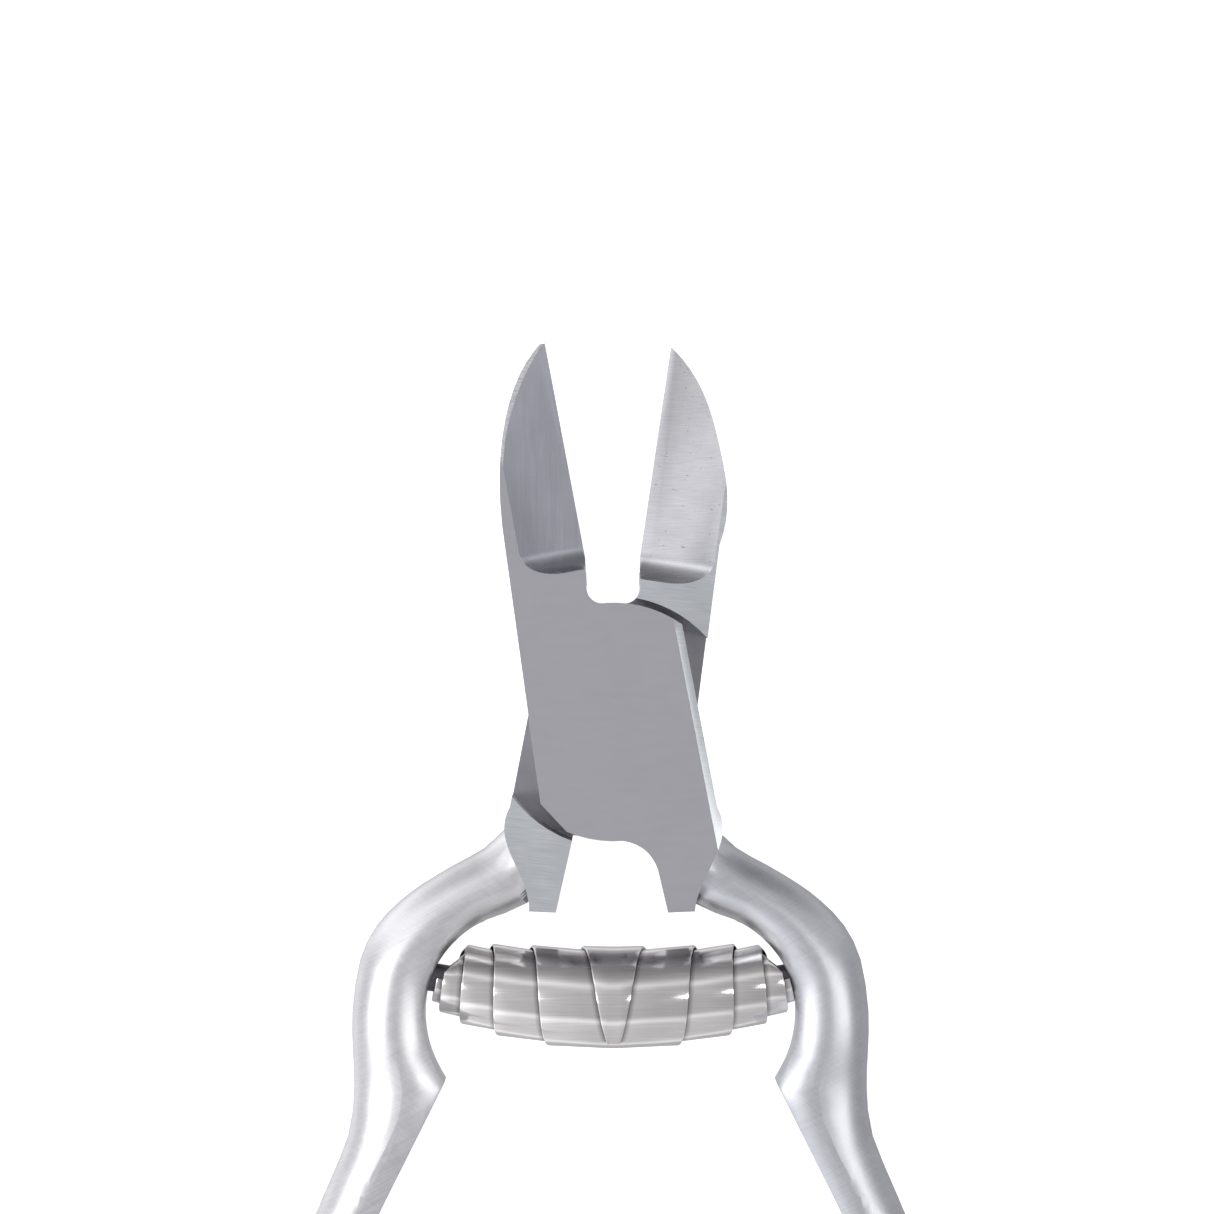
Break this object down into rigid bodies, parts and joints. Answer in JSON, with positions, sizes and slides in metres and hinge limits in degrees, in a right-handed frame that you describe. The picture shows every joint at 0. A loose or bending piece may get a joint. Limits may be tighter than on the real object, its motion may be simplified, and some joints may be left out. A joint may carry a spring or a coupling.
{
  "type": "nail nipper",
  "caption": "Lap-joint nail nipper with hollow-ground jaws, bowed handles and a wound barrel spring that opens it.",
  "frame": {"origin": "on the pivot axis, at the flush rear face of the joint, on the head of the rivet", "axes": "+Y towards the jaw tips, +X to the right seen from the front, +Z along the pivot towards the front face"},
  "size_m": [0.0665, 0.1407, 0.009],
  "materials": {
    "lever_steel": "satin",
    "rivet_steel": "satin",
    "peg_steel": "dark",
    "spring_steel": "bright"
  },
  "bodies": {
    "front": {"front_lever": "lever_steel", "pivot_rivet": "rivet_steel", "spring_peg_right": "peg_steel"},
    "rear": {"rear_lever": "lever_steel", "spring_peg_left": "peg_steel"},
    "spring": {"barrel_spring": "spring_steel"}
  },
  "joints": [
    {"name": "main_pivot", "type": "hinge", "parent": "front", "child": "rear", "pos_m": [0, 0, 0.0045], "axis": [0, 0, 1], "range_deg": [0, 18.9], "stiffness_Nm_per_rad": 0.6, "springref_deg": -5.73},
    {"name": "spring_follow", "type": "hinge", "parent": "front", "child": "spring", "pos_m": [0, 0, 0.0045], "axis": [0, 0, 1], "range_deg": [0, 9.45], "deforming": ["barrel_spring"]}
  ],
  "couplings": [
    {"joint": "spring_follow", "follows": "main_pivot", "ratio": 0.5}
  ]
}
